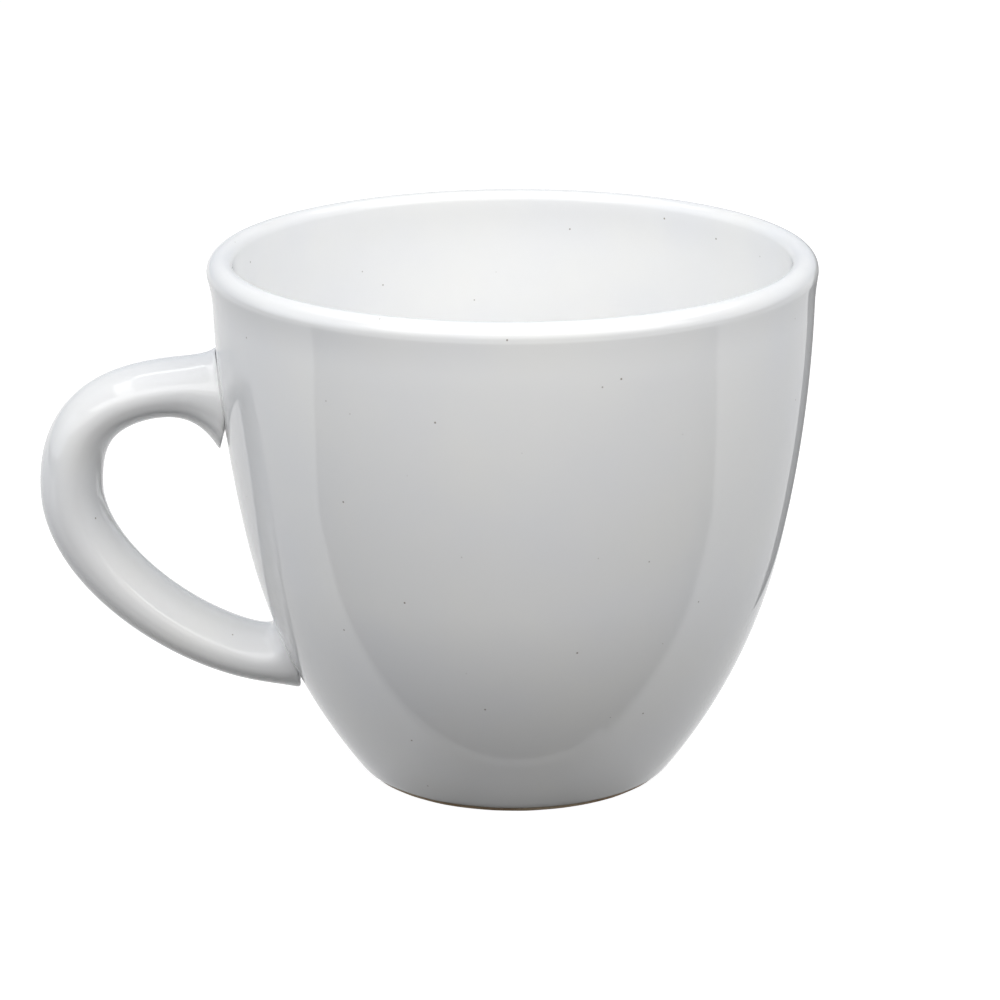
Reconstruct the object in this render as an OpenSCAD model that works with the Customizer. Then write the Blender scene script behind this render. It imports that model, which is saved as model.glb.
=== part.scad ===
// Espresso mug of white glazed stoneware with a cast loop handle.
// Millimetres. Z is the axis of the cup, z = 0 is the table, the handle points to -X.

/* [Cup] */
// diameter across the bead of the rim
rim_diameter = 64.6; // [60:0.2:70]
// height from the table to the top of the rim
cup_height = 57; // [54:0.5:61]
// diameter of the foot at the table
foot_diameter = 33.2; // [30:0.2:36]
// radius of the long curve of the upper wall
upper_curve = 142; // [128:1:160]
// height where the tighter curve of the lower wall begins
belly_height = 26; // [23:0.5:29]
// radius of the long curve inside, which thickens the wall downwards
inside_curve = 115; // [108:1:125]
// radius of the lower curve inside
bowl_curve = 54; // [50:1:60]
// height of the inside floor above the table
floor_height = 5; // [4.2:0.1:6.5]
// radius of the round between floor and wall
floor_round = 10; // [7:0.5:12]

/* [Rim] */
// thickness across the rim
rim_thickness = 2.75; // [2.3:0.05:2.75]
// radius of the outer round of the bead
bead_radius = 1.6; // [1.3:0.05:1.7]
// how far the bead stands out from the wall
bead_proud = 0.4; // [0.3:0.05:0.6]
// radius of the hollow under the bead
crease_radius = 3.5; // [2.5:0.1:4.5]

/* [Foot] */
// width of the ring that stands on the table
foot_width = 3; // [2.2:0.1:4]
// depth of the recess inside the ring
recess_depth = 1.6; // [1:0.1:2.2]
// height of the bare clay below the edge of the glaze
glaze_line = 0.6; // [0.4:0.1:1.2]

/* [Glaze] */
// thickness of the glaze
glaze = 0.3; // [0.2:0.05:0.45]

/* [Handle] */
// distance from the axis of the cup to the outermost point of the handle
handle_reach = 51; // [49:0.5:55]
// height of the outermost point
bend_height = 31.2; // [29.5:0.1:33]
// height at which the upper arm leaves the wall
upper_arm_height = 42.7; // [41:0.1:44]
// height at which the lower arm leaves the wall
lower_arm_height = 12; // [11.5:0.1:13.5]
// how far the upper arm runs level before it bends
upper_arm_run = 12.8; // [11:0.1:14]
// how far the lower arm runs level before it bends
lower_arm_run = 9.1; // [8:0.1:11]
// how far the loop runs upright above its outermost point
upper_bend_run = 6.8; // [5:0.1:8]
// how far the loop runs upright below its outermost point
lower_bend_run = 9.5; // [8:0.1:11]
// thickness of both arms, seen from the side
arm_thickness = 5.9; // [5.2:0.1:6.6]
// thickness at the outermost point, seen from the side
bend_thickness = 6.8; // [6:0.1:7.4]
// width of the handle, seen from its end
handle_width = 10; // [8.5:0.1:11]

/* [Handle ends] */
// gap between the glazed wall and the edge of each end
seam = 0.5; // [0.3:0.05:0.8]
// how far the bed of slip stays back from the edge of each end
bed_inset = 1.2; // [0.8:0.1:1.6]
// distance over which a flare fades into its arm
flare_length = 2.4; // [1.8:0.1:3]
// height of the upper end on the wall
upper_end_height = 11.2; // [10:0.1:12]
// width of the upper end on the wall
upper_end_width = 12; // [11:0.1:13]
// how far the centre of the upper end lies below its arm
upper_end_drop = 1.7; // [1:0.1:2]
// height of the lower end on the wall
lower_end_height = 8.3; // [7.8:0.1:9]
// width of the lower end on the wall
lower_end_width = 11.4; // [10.6:0.1:12.2]
// how far the centre of the lower end lies above its arm
lower_end_rise = 0.7; // [0.3:0.1:1]

/* [Hidden] */
$fa = 2;
$fs = 0.4;
// larger than the mug in every direction
beyond = 100;
clay_colour = [0.78, 0.7, 0.6];
slip_colour = [0.84, 0.78, 0.7];
glaze_colour = [0.93, 0.93, 0.91];

rim_radius = rim_diameter / 2;
bead_centre = [rim_radius - bead_radius, cup_height - bead_radius];
lip_radius = rim_thickness - bead_radius;
lip_centre = [bead_centre[0], cup_height - lip_radius];
wall_top = rim_radius - bead_proud;
mouth_radius = rim_radius - rim_thickness;
upper_wall = wall_top - mouth_radius;

// the long curve outside stands upright at the bead, and the one inside at the lip
upper_centre = [wall_top - upper_curve, bead_centre[1]];
belly_out = outward((upper_centre[1] - belly_height) / upper_curve);
belly = upper_centre + upper_curve * belly_out;
inside_centre = [mouth_radius - inside_curve, lip_centre[1]];
inside_out = outward((inside_centre[1] - belly_height) / inside_curve);

// the lower curve leaves the upper one smoothly and runs down to the foot
foot_step = [foot_diameter / 2, 0] - belly;
lower_curve = -(foot_step * foot_step) / (2 * (belly_out * foot_step));
lower_centre = belly - lower_curve * belly_out;

// the inside does the same, and a round leads it into the floor
bowl_centre = inside_centre + (inside_curve - bowl_curve) * inside_out;
round_reach = bowl_curve - floor_round;
round_out = outward((bowl_centre[1] - floor_height - floor_round) / round_reach);
round_centre = bowl_centre + round_reach * round_out;

// the hollow under the bead touches the bead and the wall
crease_to_wall = upper_curve + crease_radius;
crease_to_bead = bead_radius + crease_radius;
bead_step = bead_centre[0] - upper_centre[0];
crease_step = (pow(bead_step, 2) + pow(crease_to_wall, 2) - pow(crease_to_bead, 2)) / (2 * bead_step);
crease_centre = upper_centre + [crease_step, -sqrt(pow(crease_to_wall, 2) - pow(crease_step, 2))];

recess_radius = foot_diameter / 2 - foot_width;

// where the middle line of the handle meets its ends
upper_joint = [-wall_radius(upper_arm_height, seam), upper_arm_height];
lower_joint = [-wall_radius(lower_arm_height, seam), lower_arm_height];
upper_end_middle = upper_arm_height - upper_end_drop;
lower_end_middle = lower_arm_height + lower_end_rise;
// outermost point of the middle line
bend = [bend_thickness / 2 - handle_reach, bend_height];
// middle line of the loop as two curves that meet upright at the bend
upper_half = [upper_joint, upper_joint - [upper_arm_run, 0], bend + [0, upper_bend_run], bend];
lower_half = [bend, bend - [0, lower_bend_run], lower_joint - [lower_arm_run, 0], lower_joint];
// rings along the handle, points around each, and rings across each end
ring_count = 44;
point_count = 28;
end_rings = 4;
angles = [for (index = [0:point_count - 1]) 360 * index / point_count];

// direction square to a curve where it has dropped by this share of its radius
function outward(drop) = [sqrt(1 - drop * drop), -drop];

// radius at a height below the bead, lifted off the glazed wall
function wall_radius(z, lift) =
    z > belly_height
        ? upper_centre[0] + sqrt(pow(upper_curve + lift, 2) - pow(z - upper_centre[1], 2))
        : lower_centre[0] + sqrt(pow(lower_curve + lift, 2) - pow(z - lower_centre[1], 2));

// point of an end face, across the gap from the wall on the handle's side
function face_point(y, z) = [-sqrt(pow(wall_radius(z, seam), 2) - y * y), y, z];

function curve(a, b, c, d, t) =
    pow(1 - t, 3) * a + 3 * t * pow(1 - t, 2) * b + 3 * t * t * (1 - t) * c + pow(t, 3) * d;

function curve_slope(a, b, c, d, t) =
    pow(1 - t, 2) * (b - a) + 2 * t * (1 - t) * (c - b) + t * t * (d - c);

function middle(t) =
    t < 0.5
        ? curve(upper_half[0], upper_half[1], upper_half[2], upper_half[3], 2 * t)
        : curve(lower_half[0], lower_half[1], lower_half[2], lower_half[3], 2 * t - 1);

function middle_slope(t) =
    t < 0.5
        ? curve_slope(upper_half[0], upper_half[1], upper_half[2], upper_half[3], 2 * t)
        : curve_slope(lower_half[0], lower_half[1], lower_half[2], lower_half[3], 2 * t - 1);

// 1 at a joint, fading to 0 along the arm
function fade(point, joint) = exp(-norm(point - joint) / flare_length);

// oval section of the bare loop, as a step from its middle line
function section(t, angle, inset) =
    let (
        along = middle_slope(t) / norm(middle_slope(t)),
        swell = pow(sin(180 * t), 2),
        thickness = arm_thickness + (bend_thickness - arm_thickness) * swell,
        side = (thickness / 2 - inset) * cos(angle)
    )
    [-along[1] * side, (handle_width / 2 - inset) * sin(angle), along[0] * side];

// point of an end's outline, shrunk by share towards its middle
// inner is the side of the loop's opening: -1 below the end, 1 above it
function end_point(height, width, centre, inner, angle, inset, share) =
    face_point(
        share * (width / 2 - inset) * sin(angle),
        centre + inner * share * (height / 2 - inset) * cos(angle)
    );

function upper_end(angle, inset, share = 1) =
    end_point(upper_end_height, upper_end_width, upper_end_middle, -1, angle, inset, share);

function lower_end(angle, inset, share = 1) =
    end_point(lower_end_height, lower_end_width, lower_end_middle, 1, angle, inset, share);

function in_space(point) = [point[0], 0, point[1]];

function handle_point(t, angle, inset) =
    let (
        point = middle(t),
        up = fade(point, upper_joint),
        down = fade(point, lower_joint),
        at_upper = upper_end(angle, inset) - in_space(upper_joint),
        at_lower = lower_end(angle, inset) - in_space(lower_joint)
    )
    in_space(point) + (1 - up - down) * section(t, angle, inset) + up * at_upper + down * at_lower;

// rings lie closer together towards the flared ends
function handle_ring(ring, inset) =
    let (t = (1 - cos(180 * ring / ring_count)) / 2)
    [for (angle = angles) handle_point(t, angle, inset)];

// two triangles for each step between neighbouring rings, and back to the first ring if closed
function ring_faces(rings, closed) = [
    for (ring = [0:rings - (closed ? 1 : 2)], index = [0:point_count - 1])
        let (
            a = ring * point_count + index,
            b = ring * point_count + (index + 1) % point_count,
            next = ((ring + 1) % rings - ring) * point_count
        )
        each [[a, b, b + next], [a, b + next, a + next]]
];

// slice of the half section between two heights, out to a circle
module slice(centre, radius, low, high) {
    intersection() {
        translate([0, low])
            square([beyond, high - low]);
        translate(centre)
            circle(radius);
    }
}

// half section within the outside of the wall, shrunk by inset
module wall_section(inset) {
    change = belly_height - inset * belly_out[1];
    slice(lower_centre, lower_curve - inset, 0, change);
    slice(upper_centre, upper_curve - inset, change, bead_centre[1]);
}

// half section of the cup without its inside, shrunk by inset
module outside_section(inset) {
    wall_touch = upper_centre + (crease_centre - upper_centre) * (upper_curve - inset) / crease_to_wall;
    bead_touch = bead_centre + (crease_centre - bead_centre) * (bead_radius - inset) / crease_to_bead;
    wall_section(inset);
    translate([0, bead_centre[1]])
        square([bead_centre[0], lip_centre[1] - bead_centre[1]]);
    // outer half of the bead
    intersection() {
        translate(bead_centre)
            circle(bead_radius - inset);
        translate([bead_centre[0], 0])
            square([beyond, cup_height]);
    }
    // inner half of the lip
    intersection() {
        translate(lip_centre)
            circle(lip_radius - inset);
        translate([0, lip_centre[1]])
            square([lip_centre[0], lip_radius]);
    }
    // soft hollow between bead and wall
    difference() {
        polygon([wall_touch, bead_touch, bead_centre]);
        translate(crease_centre)
            circle(crease_radius + inset);
    }
}

// half section of the space inside the cup, grown by inset
module inside_section(inset) {
    change = belly_height + inset * inside_out[1];
    bottom = floor_height - inset;
    round_top = round_centre[1] + (floor_round + inset) * round_out[1];
    slice(inside_centre, inside_curve + inset, change, cup_height);
    slice(bowl_centre, bowl_curve + inset, round_top, change);
    slice(round_centre, floor_round + inset, bottom, round_top);
    translate([0, bottom])
        square([round_centre[0], round_top - bottom]);
}

module cup_section(inset) {
    difference() {
        outside_section(inset);
        inside_section(inset);
        square([recess_radius, recess_depth]);
    }
}

// the whole glaze coat of the cup, before the handle's places are left out
module glaze_coat() {
    rotate_extrude()
        intersection() {
            difference() {
                cup_section(0);
                cup_section(glaze);
            }
            translate([0, glaze_line])
                square([beyond, cup_height]);
        }
}

// outline of the slip bed under an end, from the middle of the wall outwards
module bed_outline(height, width, centre) {
    difference() {
        translate([0, 0, centre])
            rotate([0, -90, 0])
                linear_extrude(beyond)
                    scale([(height / 2 - bed_inset) / (width / 2 - bed_inset), 1])
                        circle(width / 2 - bed_inset);
        rotate_extrude()
            wall_section(upper_wall / 2);
    }
}

// space between the clay wall and the face of a handle end
module bed_layer() {
    rotate_extrude()
        difference() {
            wall_section(-seam);
            wall_section(glaze);
        }
}

module upper_bed() {
    bed_outline(upper_end_height, upper_end_width, upper_end_middle);
}

module lower_bed() {
    bed_outline(lower_end_height, lower_end_width, lower_end_middle);
}

// fired clay bowl with its rim, floor and foot ring
module cup_body() {
    color(clay_colour)
        rotate_extrude()
            cup_section(glaze);
}

// glass coat inside and outside, open where the slip beds sit on the clay
module body_glaze() {
    color(glaze_colour)
        difference() {
            glaze_coat();
            upper_bed();
            lower_bed();
        }
}

// patch of glaze in the recess under the floor
module base_glaze() {
    color(glaze_colour)
        translate([0, 0, recess_depth - glaze])
            cylinder(r = recess_radius, h = glaze);
}

// bed of slip between the clay wall and the upper end of the handle
module upper_slip() {
    color(slip_colour)
        intersection() {
            bed_layer();
            upper_bed();
        }
}

// bed of slip between the clay wall and the lower end of the handle
module lower_slip() {
    color(slip_colour)
        intersection() {
            bed_layer();
            lower_bed();
        }
}

// cast clay loop, closed at each end by a face that follows the wall
module handle() {
    inner_shares = [for (ring = [1:end_rings - 1]) ring / end_rings];
    rings = ring_count + 1 + 2 * len(inner_shares);
    upper_middle = rings * point_count;
    lower_middle = upper_middle + 1;
    last_ring = upper_middle - point_count;
    points = [
        for (share = inner_shares, angle = angles) upper_end(angle, glaze, share),
        for (ring = [0:ring_count]) each handle_ring(ring, glaze),
        for (share = inner_shares, angle = angles) lower_end(angle, glaze, 1 - share),
        upper_end(0, glaze, 0),
        lower_end(0, glaze, 0)
    ];
    faces = [
        each ring_faces(rings, false),
        for (index = [0:point_count - 1])
            let (after = (index + 1) % point_count)
            each [
                [upper_middle, after, index],
                [last_ring + index, last_ring + after, lower_middle]
            ]
    ];
    color(clay_colour)
        polyhedron(points, faces);
}

// glass coat around the loop, open at both ends
module handle_glaze() {
    points = [
        for (ring = [0:ring_count]) each handle_ring(ring, 0),
        for (ring = [ring_count:-1:0]) each handle_ring(ring, glaze)
    ];
    color(glaze_colour)
        polyhedron(points, ring_faces(2 * (ring_count + 1), true));
}

cup_body();
body_glaze();
base_glaze();
upper_slip();
lower_slip();
handle();
handle_glaze();
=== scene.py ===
import math

import bpy
from mathutils import Matrix, Vector, noise


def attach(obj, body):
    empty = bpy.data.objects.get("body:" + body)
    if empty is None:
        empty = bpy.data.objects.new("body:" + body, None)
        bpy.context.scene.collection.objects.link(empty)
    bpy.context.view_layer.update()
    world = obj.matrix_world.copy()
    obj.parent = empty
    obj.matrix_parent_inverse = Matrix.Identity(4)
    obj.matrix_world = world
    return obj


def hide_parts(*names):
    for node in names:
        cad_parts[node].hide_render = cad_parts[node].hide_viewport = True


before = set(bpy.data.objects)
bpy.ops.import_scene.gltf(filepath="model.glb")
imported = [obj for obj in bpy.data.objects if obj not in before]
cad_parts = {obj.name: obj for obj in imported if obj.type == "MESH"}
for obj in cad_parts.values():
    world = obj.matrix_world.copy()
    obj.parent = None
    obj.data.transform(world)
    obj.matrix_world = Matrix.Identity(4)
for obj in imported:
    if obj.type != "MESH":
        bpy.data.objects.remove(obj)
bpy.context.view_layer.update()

# The clay body: one pale stoneware bowl with its rolled rim and foot ring, shaped on a turning mould
# and fired as one piece. Only the ring that stands on the table stays bare.
MM = 0.001
rim_radius = 32.3
cup_height = 57.0
foot_radius = 16.6
upper_curve = 142.0
belly_height = 26.0
inside_curve = 115.0
bowl_curve = 54.0
floor_height = 5.0
floor_round = 10.0
rim_thickness = 2.75
bead_radius = 1.6
bead_proud = 0.4
crease_radius = 20.0
foot_width = 3.0
recess_depth = 1.6
foot_edge = 0.35
glaze = 0.3


def outward(drop):
    """Direction square to a curve where it has dropped by this share of its radius."""
    return Vector((math.sqrt(1 - drop * drop), -drop))


bead_centre = Vector((rim_radius - bead_radius, cup_height - bead_radius))
lip_radius = rim_thickness - bead_radius
lip_centre = Vector((bead_centre.x, cup_height - lip_radius))
upper_centre = Vector((rim_radius - bead_proud - upper_curve, bead_centre.y))
belly_out = outward((upper_centre.y - belly_height) / upper_curve)
belly = upper_centre + upper_curve * belly_out
foot_step = Vector((foot_radius, 0)) - belly
lower_curve = -foot_step.length_squared / (2 * belly_out.dot(foot_step))
lower_centre = belly - lower_curve * belly_out
inside_centre = Vector((rim_radius - rim_thickness - inside_curve, lip_centre.y))
inside_out = outward((inside_centre.y - belly_height) / inside_curve)
bowl_centre = inside_centre + (inside_curve - bowl_curve) * inside_out
round_reach = bowl_curve - floor_round
round_out = outward((bowl_centre.y - floor_height - floor_round) / round_reach)
round_centre = bowl_centre + round_reach * round_out
crease_to_wall = upper_curve + crease_radius
crease_to_bead = bead_radius + crease_radius
bead_step = bead_centre.x - upper_centre.x
crease_step = (bead_step**2 + crease_to_wall**2 - crease_to_bead**2) / (2 * bead_step)
crease_centre = upper_centre + Vector((crease_step, -math.sqrt(crease_to_wall**2 - crease_step**2)))
recess_radius = foot_radius - foot_width


def arc(centre, radius, start, end, steps):
    """Points from one direction to another around a centre, the short way."""
    first = math.atan2(start.y, start.x)
    turn = math.remainder(math.atan2(end.y, end.x) - first, math.tau)
    angles = [first + turn * step / steps for step in range(steps + 1)]
    return [centre + radius * Vector((math.cos(a), math.sin(a))) for a in angles]


def wall_direction(height, inset):
    """Direction of the lower wall curve at a height."""
    drop = (lower_centre.y - height) / (lower_curve - inset)
    return outward(drop)


def cup_line(inset, start):
    """Half section from the foot over the rim to the middle of the floor, set back by inset."""
    up = Vector((0, 1))
    inwards = Vector((-1, 0))
    to_wall = upper_centre - crease_centre
    to_bead = bead_centre - crease_centre
    points = arc(lower_centre, lower_curve - inset, start, belly_out, 60)
    points += arc(upper_centre, upper_curve - inset, belly_out, -to_wall, 40)[1:]
    points += arc(crease_centre, crease_radius + inset, to_wall, to_bead, 10)[1:]
    points += arc(bead_centre, bead_radius - inset, -to_bead, up, 24)[1:]
    points += arc(lip_centre, lip_radius - inset, up, inwards, 22)[1:]
    points += arc(inside_centre, inside_curve + inset, -inwards, inside_out, 40)[1:]
    points += arc(bowl_centre, bowl_curve + inset, inside_out, round_out, 30)[1:]
    points += arc(round_centre, floor_round + inset, round_out, -up, 24)[1:]
    floor_edge = points[-1]
    points += [floor_edge * Vector((1 - step / 8, 1)) for step in range(1, 9)]
    return points


def smooth_piece(name, points, faces):
    """A named mesh with smooth shading, from points in millimetres."""
    mesh = bpy.data.meshes.new(name)
    mesh.from_pydata([Vector(point) * MM for point in points], [], faces)
    mesh.validate()
    mesh.shade_smooth()
    piece = bpy.data.objects.new(name, mesh)
    bpy.context.collection.objects.link(piece)
    return piece


def turned(name, outline, wave=None, turns=288):
    """Turns a closed half section about the upright axis; points on the axis become single points."""
    points = []
    rows = []
    for spot in outline:
        if spot.x < 1e-6:
            rows.append([len(points)] * turns)
            points.append((0, 0, spot.y))
            continue
        rows.append(range(len(points), len(points) + turns))
        for turn in range(turns):
            angle = math.tau * turn / turns
            moved = wave(spot, angle) if wave else spot
            points.append((moved.x * math.cos(angle), moved.x * math.sin(angle), moved.y))
    faces = []
    for row, after in zip(rows, rows[1:] + rows[:1]):
        for turn in range(turns):
            side = (turn + 1) % turns
            corners = [row[turn], row[side], after[side], after[turn]]
            corners = list(dict.fromkeys(corners))
            if len(corners) > 2:
                faces.append(corners)
    return smooth_piece(name, points, faces)


def round_wave(angle, lumps, seed):
    """A smooth random wave around the axis, between about -1 and 1, that closes on itself."""
    return noise.noise(Vector((lumps * math.cos(angle), lumps * math.sin(angle), seed)))


def rim_wave(spot, angle):
    """The rolled rim has sunk a little in firing: it lies off centre and is slightly oval."""
    rise = min(1, max(0, (spot.y - crease_centre.y) / (bead_centre.y - crease_centre.y)))
    sunk = 0.12 * math.cos(angle) + 0.34 * math.sin(angle) ** 2
    return spot - Vector((sunk * rise * rise, 0))


def foot_wave(spot, angle):
    """The bare ring is trimmed by hand and isn't quite true; its standing face stays flat."""
    near_table = max(0, 1 - spot.y / 2)
    return rim_wave(spot, angle) + Vector((0.06 * near_table * round_wave(angle, 6, 3.1), 0))


clay_start = wall_direction(foot_edge, glaze)
clay_outline = cup_line(glaze, clay_start)
foot_outside = clay_outline[0]
foot_corner = Vector((foot_outside.x - foot_edge, foot_edge))
recess_top = Vector((recess_radius - foot_edge, recess_depth - foot_edge))
clay_outline += [Vector((recess_radius * step / 8, recess_depth)) for step in range(8)]
clay_outline += arc(recess_top, foot_edge, Vector((0, 1)), Vector((1, 0)), 6)
inner_corner = Vector((recess_radius + foot_edge, foot_edge))
clay_outline += arc(inner_corner, foot_edge, Vector((-1, 0)), Vector((0, -1)), 6)
clay_outline += arc(foot_corner, foot_edge, Vector((0, -1)), Vector((1, -0.1)), 6)


def new_finish(name):
    """A material, its node tree and its surface shader."""
    finish = bpy.data.materials.new(name)
    finish.use_nodes = True
    return finish, finish.node_tree, finish.node_tree.nodes["Principled BSDF"]


def add_node(tree, kind, inputs=None, **settings):
    """Adds a node; an input that is a socket is linked and any other is set."""
    made = tree.nodes.new(kind)
    for key, value in settings.items():
        setattr(made, key, value)
    for key, value in (inputs or {}).items():
        if isinstance(value, bpy.types.NodeSocket):
            tree.links.new(value, made.inputs[key])
        else:
            made.inputs[key].default_value = value
    return made


def mixed(tree, share, first, second):
    """A colour between two others, by a share."""
    return add_node(tree, "ShaderNodeMix", {0: share, 6: first, 7: second}, data_type="RGBA").outputs[2]


def spread(tree, value, low, high, to_low=0.0, to_high=1.0):
    """A value carried from one span to another and held at its ends."""
    span = {0: value, 1: low, 2: high, 3: to_low, 4: to_high}
    return add_node(tree, "ShaderNodeMapRange", span).outputs[0]


def grain(tree, place, size, detail=2.0, seed=0.0):
    """Noise with lumps of about this many millimetres."""
    inputs = {"Vector": place, "W": seed, "Scale": 1 / (size * MM), "Detail": detail}
    return add_node(tree, "ShaderNodeTexNoise", inputs, noise_dimensions="4D").outputs["Fac"]


pale_clay = (0.52, 0.41, 0.29, 1)
toasted_clay = (0.30, 0.20, 0.12, 1)
dark_sand = (0.20, 0.15, 0.10, 1)
clay_finish, tree, shader = new_finish("fired_stoneware")
place = add_node(tree, "ShaderNodeTexCoord").outputs["Object"]
sand = grain(tree, place, 0.35, 4.0)
patches = grain(tree, place, 5.0, 2.0, 1.7)
clay_colour = mixed(tree, spread(tree, patches, 0.35, 0.65), pale_clay, toasted_clay)
clay_colour = mixed(tree, spread(tree, sand, 0.55, 0.75, 0, 0.35), clay_colour, dark_sand)
tree.links.new(clay_colour, shader.inputs["Base Color"])
tree.links.new(spread(tree, sand, 0.3, 0.7, 0.75, 0.95), shader.inputs["Roughness"])
bump = add_node(tree, "ShaderNodeBump", {"Height": sand, "Distance": 0.00008})
tree.links.new(bump.outputs[0], shader.inputs["Normal"])

clay_body = turned("clay_body", clay_outline, foot_wave)
clay_body.data.materials.append(clay_finish)
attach(clay_body, "root")
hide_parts("cup_body")

# The handle: a loop of the same clay, cast in a two-part mould and flared at both ends.
# Its ends are cut to the curve of the wall and stand just off it, bedded on slip.
handle_reach = 51.0
bend_height = 31.2
upper_arm_height = 42.7
lower_arm_height = 12.0
upper_arm_run = 12.8
lower_arm_run = 9.1
upper_bend_run = 6.8
lower_bend_run = 9.5
arm_thickness = 5.7
bend_thickness = 6.7
handle_width = 10.0
flare_length = 1.1
gusset_length = 1.0
bed_gap = 0.5
side_gap = -0.1
soft_edge = 0.94
clay_set_in = 3.0
clay_set_back = 0.1
rings_along = 150
points_around = 72


def wall_radius(height, lift):
    """Radius of the glazed wall at a height, lifted off it."""
    if height > belly_height:
        return upper_centre.x + math.sqrt((upper_curve + lift) ** 2 - (height - upper_centre.y) ** 2)
    return lower_centre.x + math.sqrt((lower_curve + lift) ** 2 - (height - lower_centre.y) ** 2)


# centre height, height and width of each end, the side of the loop's opening, how far its tips stand
# off the wall at the opening and at the far side, how fast those gaps close, and how far slip fills them
upper_end = {"middle": 41.0, "height": 11.2, "width": 12.0, "inner": -1}
upper_end |= {"inner_gap": 1.0, "inner_close": 1.4, "inner_slip": 0.1}
upper_end |= {"outer_gap": 0.1, "outer_close": 8, "outer_slip": 0.8}
lower_end = {"middle": 13.05, "height": 9.0, "width": 11.4, "inner": 1}
lower_end |= {"inner_gap": 0.2, "inner_close": 16, "inner_slip": 0.8}
lower_end |= {"outer_gap": 1.0, "outer_close": 2.5, "outer_slip": 0.4}
upper_joint = Vector((-wall_radius(upper_arm_height, bed_gap), upper_arm_height))
lower_joint = Vector((-wall_radius(lower_arm_height, bed_gap), lower_arm_height))
bend = Vector((bend_thickness / 2 - handle_reach, bend_height))
upper_half = (
    upper_joint,
    upper_joint - Vector((upper_arm_run, 0)),
    bend + Vector((0, upper_bend_run)),
    bend,
)
lower_half = (
    bend,
    bend - Vector((0, lower_bend_run)),
    lower_joint - Vector((lower_arm_run, 0)),
    lower_joint,
)


def middle_line(share):
    """Point and direction of the loop's middle line, from the upper end to the lower."""
    a, b, c, d = upper_half if share < 0.5 else lower_half
    t = 2 * share if share < 0.5 else 2 * share - 1
    s = 1 - t
    point = s**3 * a + 3 * t * s * s * b + 3 * t * t * s * c + t**3 * d
    slope = s * s * (b - a) + 2 * t * s * (c - b) + t * t * (d - c)
    return point, slope.normalized()


def in_space(point):
    return Vector((point.x, 0, point.y))


def end_face(end, angle, inset, share):
    """Point of an end's face, from its middle to its edge by share; clay is set well under the flare."""
    across = share * (end["width"] / 2 - clay_set_in * inset) * math.sin(angle)
    half_height = end["height"] / 2 - clay_set_in * inset
    height = end["middle"] + end["inner"] * share * half_height * math.cos(angle)
    tip = "inner" if math.cos(angle) > 0 else "outer"
    edge_gap = side_gap + (end[tip + "_gap"] - side_gap) * abs(math.cos(angle)) ** end[tip + "_close"]
    gap = bed_gap + (edge_gap - bed_gap) * share**2
    radius = wall_radius(height, gap + clay_set_back * inset)
    return Vector((-math.sqrt(radius**2 - across**2), across, height))


def loop_point(share, angle, inset):
    """Point of the loop's surface, set back by inset."""
    point, along = middle_line(share)
    swell = math.sin(math.pi * share) ** 2
    thickness = arm_thickness + (bend_thickness - arm_thickness) * swell
    side = (thickness / 2 - inset) * math.cos(angle)
    section = Vector((-along.y * side, (handle_width / 2 - inset) * math.sin(angle), along.x * side))
    gusset = gusset_length * max(0, math.cos(angle))
    up = math.exp(-(point - upper_joint).length / (flare_length + gusset))
    down = math.exp(-(point - lower_joint).length / flare_length)
    at_upper = end_face(upper_end, angle, inset, 1) - in_space(upper_joint)
    at_lower = end_face(lower_end, angle, inset, 1) - in_space(lower_joint)
    return in_space(point) + (1 - up - down) * section + up * at_upper + down * at_lower


def rounded_corner(before, corner, after, steps):
    """Points of a soft corner between two others."""
    shares = [step / steps for step in range(steps + 1)]
    return [(1 - s) ** 2 * before + 2 * s * (1 - s) * corner + s * s * after for s in shares]


def end_rings(end, first_share, inset):
    """Rings from the loop's surface round the soft edge of an end and in towards its middle."""
    columns = []
    for index in range(points_around):
        angle = math.tau * index / points_around
        before = loop_point(first_share, angle, inset)
        corner = end_face(end, angle, inset, 1)
        after = end_face(end, angle, inset, soft_edge)
        column = rounded_corner(before, corner, after, 5)
        column += [end_face(end, angle, inset, share) for share in (0.8, 0.6, 0.4, 0.2)]
        columns.append(column)
    return [list(ring) for ring in zip(*columns)]


def loop_piece(name, inset):
    """The closed loop with its two ends, set back by inset."""
    edge = 0.007
    shares = [(1 - math.cos(math.pi * ring / rings_along)) / 2 for ring in range(rings_along + 1)]
    shares = [share for share in shares if edge < share < 1 - edge]
    angles = [math.tau * index / points_around for index in range(points_around)]
    rings = end_rings(upper_end, edge, inset)[::-1]
    rings += [[loop_point(share, angle, inset) for angle in angles] for share in shares]
    rings += end_rings(lower_end, 1 - edge, inset)
    points = [point for ring in rings for point in ring]
    faces = []
    for ring in range(len(rings) - 1):
        for index in range(points_around):
            side = (index + 1) % points_around
            row, after = ring * points_around, (ring + 1) * points_around
            faces.append([row + index, after + index, after + side, row + side])
    last_row = len(points) - points_around
    for row, end in ((0, upper_end), (last_row, lower_end)):
        middle = len(points)
        points.append(end_face(end, 0, inset, 0))
        for index in range(points_around):
            corners = [row + index, middle, row + (index + 1) % points_around]
            faces.append(corners if row else corners[::-1])
    return smooth_piece(name, points, faces)


handle_core = loop_piece("handle_core", glaze)
handle_core.data.materials.append(clay_finish)
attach(handle_core, "root")
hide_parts("handle")

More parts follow.
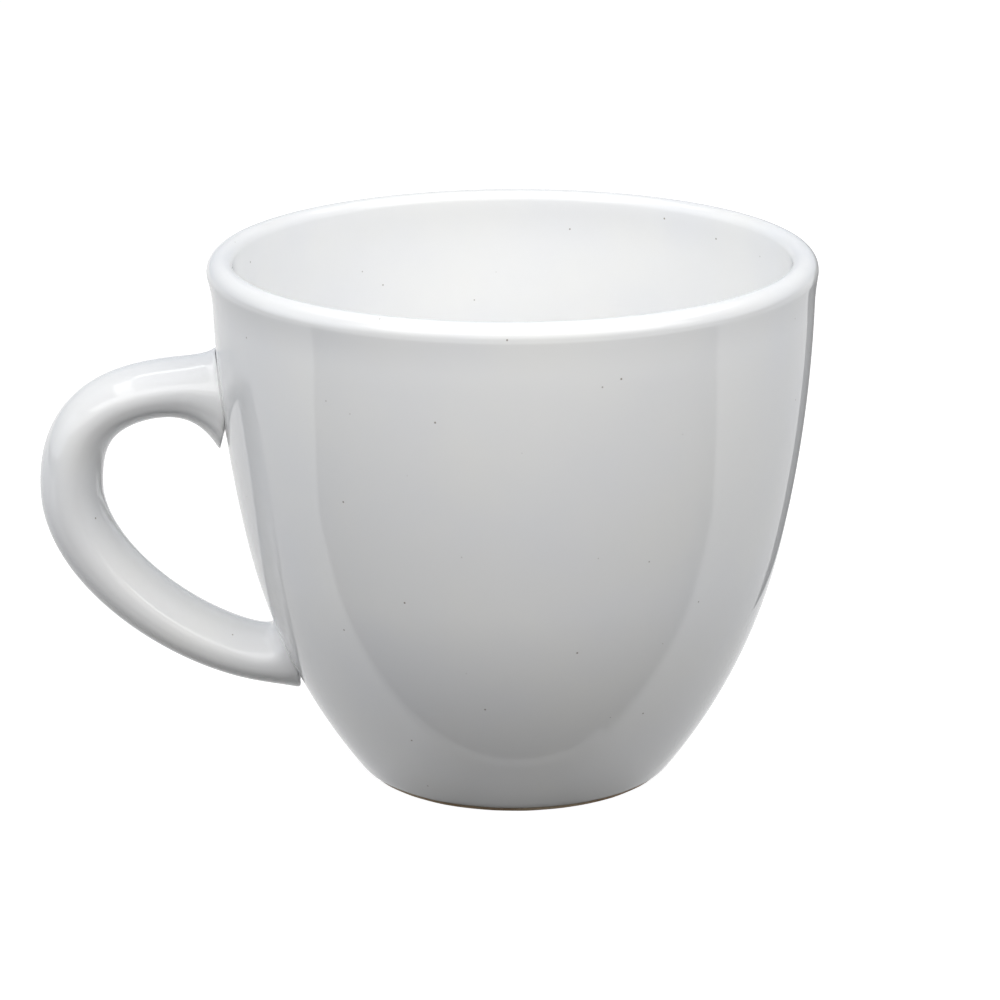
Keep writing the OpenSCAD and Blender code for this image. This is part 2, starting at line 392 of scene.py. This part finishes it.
# The two slip beds: liquid clay brushed on each handle end, which squeezes out a little as the end is
# pressed to the wall. They fire as hard as the clay and show at the bottom of the seam.
bed_share = 0.76
bed_wander = 0.06
bed_bulge = 0.05
bed_sink = 0.1
bed_bite = 0.05
slip_pale = (0.72, 0.70, 0.66, 1)
slip_grey = (0.60, 0.57, 0.52, 1)
slip_finish, tree, shader = new_finish("fired_slip")
place = add_node(tree, "ShaderNodeTexCoord").outputs["Object"]
smear = grain(tree, place, 0.6, 3.0)
slip_colour = mixed(tree, spread(tree, smear, 0.35, 0.65), slip_pale, slip_grey)
tree.links.new(slip_colour, shader.inputs["Base Color"])
tree.links.new(spread(tree, smear, 0.3, 0.7, 0.35, 0.6), shader.inputs["Roughness"])
bump = add_node(tree, "ShaderNodeBump", {"Height": smear, "Distance": 0.00005})
tree.links.new(bump.outputs[0], shader.inputs["Normal"])


def slip_bed(name, end, node):
    """A thin bed with an uneven edge, from just under the glazed wall to the handle's face."""
    rings = []
    for depth in (0.0, 0.25, 0.5, 0.75, 1.0):
        ring = []
        for index in range(points_around):
            angle = math.tau * index / points_around
            wander = bed_wander * round_wave(angle, 3, end["middle"])
            squeeze = bed_share + wander + bed_bulge * (2 * depth - 1) ** 2
            tip = "inner" if math.cos(angle) > 0 else "outer"
            upwards = squeeze * math.cos(angle) * end[tip + "_slip"] / bed_share
            sideways = squeeze * math.sin(angle)
            face = end_face(end, math.atan2(sideways, upwards), 0, math.hypot(sideways, upwards))
            wall_x = -math.sqrt(wall_radius(face.z, -bed_sink) ** 2 - face.y**2)
            ring.append(Vector((wall_x + (face.x - bed_bite - wall_x) * depth, face.y, face.z)))
        rings.append(ring)
    points = [point for ring in rings for point in ring]
    faces = []
    for ring in range(len(rings) - 1):
        for index in range(points_around):
            side = (index + 1) % points_around
            row, after = ring * points_around, (ring + 1) * points_around
            faces.append([row + index, after + index, after + side, row + side])
    faces.append(list(range(points_around)))
    faces.append(list(range(len(points) - points_around, len(points)))[::-1])
    if end is lower_end:
        faces = [face[::-1] for face in faces]
    bed = smooth_piece(name, points, faces)
    bed.data.materials.append(slip_finish)
    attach(bed, "root")
    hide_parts(node)


slip_bed("slip_bed_upper", upper_end, "upper_slip")
slip_bed("slip_bed_lower", lower_end, "lower_slip")

# The body glaze: a glossy white glass coat, dipped and fired over the cup inside and out.
# It is wiped off just above the table, where it ends in a soft thick edge.
glaze_line = 0.55
edge_steps = 12
glaze_white = (0.85, 0.85, 0.84, 1)
glaze_cool = (0.825, 0.83, 0.84, 1)
pinhole = (0.30, 0.27, 0.24, 1)
glaze_finish, tree, shader = new_finish("white_glaze")
place = add_node(tree, "ShaderNodeTexCoord").outputs["Object"]
clouds = grain(tree, place, 14.0, 2.0)
glaze_colour = mixed(tree, spread(tree, clouds, 0.35, 0.65), glaze_white, glaze_cool)
cells = add_node(tree, "ShaderNodeTexVoronoi", {"Vector": place, "Scale": 330.0})
holes = spread(tree, cells.outputs["Distance"], 0.02, 0.045, 1.0, 0.0)
glaze_colour = mixed(tree, holes, glaze_colour, pinhole)
tree.links.new(glaze_colour, shader.inputs["Base Color"])
sheen_drift = grain(tree, place, 9.0, 2.0, 4.2)
tree.links.new(spread(tree, sheen_drift, 0.3, 0.7, 0.015, 0.04), shader.inputs["Roughness"])
ripple = grain(tree, place, 0.9, 1.0, 2.3)
swell = grain(tree, place, 9.0, 1.0, 7.9)
bump_ripple = add_node(tree, "ShaderNodeBump", {"Height": ripple, "Distance": 0.000003})
bump_swell = add_node(
    tree, "ShaderNodeBump", {"Height": swell, "Distance": 0.00003, "Normal": bump_ripple.outputs[0]}
)
tree.links.new(bump_swell.outputs[0], shader.inputs["Normal"])

glaze_start = wall_direction(glaze_line, glaze)
on_clay = cup_line(glaze, glaze_start)
on_top = cup_line(0, glaze_start)
edge_cover = [math.sin(math.pi / 2 * min(1, (index + 0.5) / 2)) for index in range(edge_steps)]
coat_outline = []
for index, (low, high) in enumerate(zip(on_clay, on_top)):
    cover = edge_cover[index] if index < edge_steps else 1
    coat_outline.append(low.lerp(high, cover))
coat_outline += on_clay[::-1]


def glaze_wave(spot, angle):
    """The wiped lower edge wanders a little up and down."""
    near_edge = max(0, 1 - spot.y / 3)
    return rim_wave(spot, angle) + 0.12 * near_edge * round_wave(angle, 5, 8.4) * Vector((0.6, 0.8))


body_coat = turned("body_glaze_coat", coat_outline, glaze_wave)
body_coat.data.materials.append(glaze_finish)
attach(body_coat, "root")
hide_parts("body_glaze")

# The base glaze: the patch of the same glass left in the recess when the foot ring was wiped.
# It climbs a little at the ring, as melted glass does.
patch_radius = recess_radius - 0.05
patch_face = recess_depth - glaze
patch_flat = recess_radius - 0.8
patch_climb = 0.25
patch_bevel = 0.35
cove_radius = 0.5
cove_centre = Vector((recess_radius - 0.65, patch_face - cove_radius))
patch_outline = [
    Vector((0, recess_depth)),
    Vector((patch_radius - patch_bevel, recess_depth)),
    Vector((patch_radius, recess_depth - patch_bevel)),
    Vector((patch_radius, patch_face - patch_climb)),
]
patch_outline += arc(cove_centre, cove_radius, Vector((1, 0.4)), Vector((0, 1)), 8)
patch_outline += [Vector((patch_flat * (1 - step / 8), patch_face)) for step in range(9)]
base_patch = turned("base_glaze_patch", patch_outline[::-1])
base_patch.data.materials.append(glaze_finish)
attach(base_patch, "root")
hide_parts("base_glaze")

# The handle glaze: the same glass around the loop, running over the soft edges of both ends
# into the seam.
handle_coat = loop_piece("handle_glaze_coat", 0)
handle_coat.data.materials.append(glaze_finish)
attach(handle_coat, "root")
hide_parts("handle_glaze")

# The stage: a sheet of paper under the mug that ends just in front of it, on a dark table in a light
# tent. The camera sees only a plain pale floor in their place. The sheet is dark grey to diffuse light,
# as painted shade. The glaze mirrors the tent's lamps and a glowing copy of the sheet, a painted
# reflection: lit paper to the sides, a painted shadow of the mug in front of the foot, a painted bright
# line at the cut edge and painted shade in the back right corner.
sheet_edge = -23.5
edge_width = 1.3
edge_slant = 0.015
edge_sweep = 0.25
sweep_start = 85
torn_place = 15
torn_reach = 6
torn_grain = 1.4
torn_depth = 1.6
stage_size = 1500
# the back right corner, where the sheet's glowing copy gives way to painted shade
shade_start = (45, 25)
shade_slant = 0.6
floor_glow, painted_edge_glow, shade_glow = 0.92, 0.5, 0.25
# glow of the sheet's copy in the glaze's mirror images: painted reflection of lit paper, with a painted
# shadow of the mug in the middle in front of the foot, and how far from the middle each holds
shadow_glow, lit_paper_glow = 0.3, 0.95
shadow_half, lit_paper_half = 6, 16
pale_floor = (0.3, 0.3, 0.3, 1)
# dark grey paper: painted shade, so the sheet throws up only dim light onto the lower body and the
# handle's underside
shaded_paper = (0.07, 0.07, 0.07, 1)
dark_table = (0.03, 0.03, 0.032, 1)


def flat_piece(name, corners, height, colour, glow=0.0):
    """A flat matt piece of the stage, from its corners in millimetres."""
    mesh = bpy.data.meshes.new(name)
    points = [Vector((x, y, height)) * MM for x, y in corners]
    mesh.from_pydata(points, [], [range(len(points))])
    piece = bpy.data.objects.new(name, mesh)
    bpy.context.collection.objects.link(piece)
    finish, tree, shader = new_finish(name)
    shader.inputs["Base Color"].default_value = colour
    shader.inputs["Roughness"].default_value = 1.0
    shader.inputs["Specular IOR Level"].default_value = 0.0
    shader.inputs["Emission Color"].default_value = (1, 1, 1, 1)
    shader.inputs["Emission Strength"].default_value = glow
    mesh.materials.append(finish)
    return piece


def edge_line(x):
    """The sheet's front edge, a little torn on the right."""
    near_tear = math.exp(-(((x - torn_place) / torn_reach) ** 2))
    torn = near_tear * noise.noise(Vector((x / torn_grain, 0.5, 0)))
    return sheet_edge + edge_slant * x - edge_sweep * max(0, abs(x) - sweep_start) + torn_depth * torn


edge_points = [0.5 * step - 200 for step in range(801)]
front_line = [(x, edge_line(x)) for x in edge_points]
back_line = [(x, y + edge_width) for x, y in front_line]
whole_floor = [(x * stage_size, y * stage_size) for x, y in ((-1, -1), (1, -1), (1, 1), (-1, 1))]
shaded_corner = [(shade_slant * stage_size, stage_size), shade_start, (shade_start[0], stage_size)]
floor = flat_piece("floor", whole_floor, 0, pale_floor, floor_glow)
floor.visible_diffuse = floor.visible_glossy = floor.visible_shadow = False
# the floor is clear from below, so that the foot shows there
tree = floor.data.materials[0].node_tree
from_below = add_node(tree, "ShaderNodeNewGeometry").outputs["Backfacing"]
clear = add_node(tree, "ShaderNodeBsdfTransparent").outputs[0]
floor_face = tree.nodes["Principled BSDF"].outputs[0]
one_sided = add_node(tree, "ShaderNodeMixShader", {0: from_below, 1: floor_face, 2: clear}).outputs[0]
tree.links.new(one_sided, tree.nodes["Material Output"].inputs["Surface"])
table = flat_piece("table", whole_floor, -0.3, dark_table)
# the sheet is seen only by diffuse light, and as a dark grey: painted shade
sheet = flat_piece("sheet", front_line + whole_floor[2:], -0.1, shaded_paper)
# the cut edge glows: a painted bright line, standing in for light caught by the paper's edge
cut_edge = flat_piece("cut_edge", front_line + back_line[::-1], -0.05, shaded_paper, painted_edge_glow)
reflection_outline = front_line + whole_floor[2:3] + shaded_corner + whole_floor[3:]
# a glowing copy of the sheet that only mirror images see: painted reflection of lit paper, dim in the
# middle as a painted shadow of the mug, with its back right corner left out as painted shade
paper_reflection = flat_piece("painted_sheet_reflection", reflection_outline, -0.08, (0, 0, 0, 1))
# a dim glow in that corner, seen only in mirror images: painted reflection of a grey shaded area
corner = flat_piece("painted_corner_reflection", shaded_corner, -0.08, (0, 0, 0, 1), shade_glow)
tree = paper_reflection.data.materials[0].node_tree
place = add_node(tree, "ShaderNodeTexCoord").outputs["Object"]
aside = add_node(tree, "ShaderNodeSeparateXYZ", {0: place}).outputs[0]
aside = add_node(tree, "ShaderNodeMath", {0: aside}, operation="ABSOLUTE").outputs[0]
# painted shadow in the middle, painted light towards the sides
painted_paper_light = spread(tree, aside, shadow_half * MM, lit_paper_half * MM, shadow_glow, lit_paper_glow)
tree.links.new(painted_paper_light, tree.nodes["Principled BSDF"].inputs["Emission Strength"])
for piece in (table, sheet, cut_edge, paper_reflection, corner):
    piece.visible_camera = False
for piece in (paper_reflection, corner):
    piece.visible_diffuse = piece.visible_shadow = False
sheet.visible_glossy = False

window_light, side_light, back_light = 1.2, 0.4, 0.7
left_light, front_low_light, front_light, high_light, top_light = 1.4, 0.05, 1.35, 0.4, 0.05
cool_white = (0.87, 0.92, 1.0, 1)
warm_white = (1.0, 0.99, 0.965, 1)
world = bpy.data.worlds.new("tent")
world.use_nodes = True
bpy.context.scene.world = world
tree = world.node_tree


def blended(tree, share, first, second):
    """A value between two others, by a share."""
    return add_node(tree, "ShaderNodeMix", {0: share, 2: first, 3: second}).outputs[0]


# each zone of the tent is found from how far a direction points ahead, behind, left and up
heading = add_node(tree, "ShaderNodeTexCoord").outputs["Generated"]
headed = add_node(tree, "ShaderNodeSeparateXYZ", {0: heading})
ahead = spread(tree, headed.outputs[1], -0.55, -0.45, 1, 0)
behind = spread(tree, headed.outputs[1], 0.25, 0.35)
leftwards = spread(tree, headed.outputs[0], -0.7, -0.1, 1, 0)
low_light = blended(tree, ahead, blended(tree, behind, window_light, back_light), front_low_light)
wall_light = blended(tree, leftwards, blended(tree, ahead, side_light, front_light), left_light)
wall_light = blended(tree, behind, wall_light, back_light)
tent_light = blended(tree, spread(tree, headed.outputs[2], 0.15, 0.25), low_light, wall_light)
tent_light = blended(tree, spread(tree, headed.outputs[2], 0.45, 0.55), tent_light, high_light)
tent_light = blended(tree, spread(tree, headed.outputs[2], 0.7, 0.8), tent_light, top_light)
background = tree.nodes["Background"]
tree.links.new(mixed(tree, ahead, cool_white, warm_white), background.inputs["Color"])
tree.links.new(tent_light, background.inputs["Strength"])

panel_height = 0.30
panel_left, panel_right = -0.155, 0.205
panel_front, panel_middle, panel_back = -0.42, -0.15, 0.12
panel_light, middle_light, border_light = 2.9, 0.4, 2.6
border = 0.05
lamp_left, lamp_right = -0.38, 0.6


def ceiling_lamp(name, left, right, front, back, light):
    """A flat lamp in the ceiling, with the same light all over."""
    lamp = bpy.data.lights.new(name, "AREA")
    lamp.shape = "RECTANGLE"
    lamp.size, lamp.size_y = right - left, back - front
    lamp.energy = light * math.pi * lamp.size * lamp.size_y
    holder = bpy.data.objects.new(name, lamp)
    holder.location = ((left + right) / 2, (front + back) / 2, panel_height)
    bpy.context.collection.objects.link(holder)


ceiling_lamp("front_panel", lamp_left, lamp_right, panel_front, panel_middle, panel_light)
ceiling_lamp("middle_panel", panel_left, panel_right, panel_middle, panel_back, middle_light)
ceiling_lamp("back_border", panel_left, panel_right, panel_back, panel_back + border, border_light)
ceiling_lamp("left_border", panel_left - border, panel_left, panel_middle, panel_back, border_light)
ceiling_lamp("right_border", panel_right, panel_right + border, panel_middle, panel_back, border_light)

# The camera: a long lens that looks down on the mug by about 17 degrees, square to the plane of the
# handle.
camera_place = Vector((0, -386.2, 148.0)) * MM
pitch = math.radians(17.06)
yaw = math.radians(-0.23)
roll = math.radians(-0.28)
forward = Vector((math.sin(yaw) * math.cos(pitch), math.cos(yaw) * math.cos(pitch), -math.sin(pitch)))
level = Vector((math.cos(yaw), -math.sin(yaw), 0))
upright = level.cross(forward)
camera_right = math.cos(roll) * level + math.sin(roll) * upright
camera_up = math.cos(roll) * upright - math.sin(roll) * level
camera_data = bpy.data.cameras.new("camera")
camera_data.sensor_width = 36
camera_data.lens = 134.9
camera = bpy.data.objects.new("camera", camera_data)
turn = Matrix((camera_right, camera_up, -forward)).transposed().to_4x4()
camera.matrix_world = Matrix.Translation(camera_place) @ turn
bpy.context.collection.objects.link(camera)
bpy.context.scene.camera = camera
bpy.context.scene.view_settings.view_transform = "Standard"
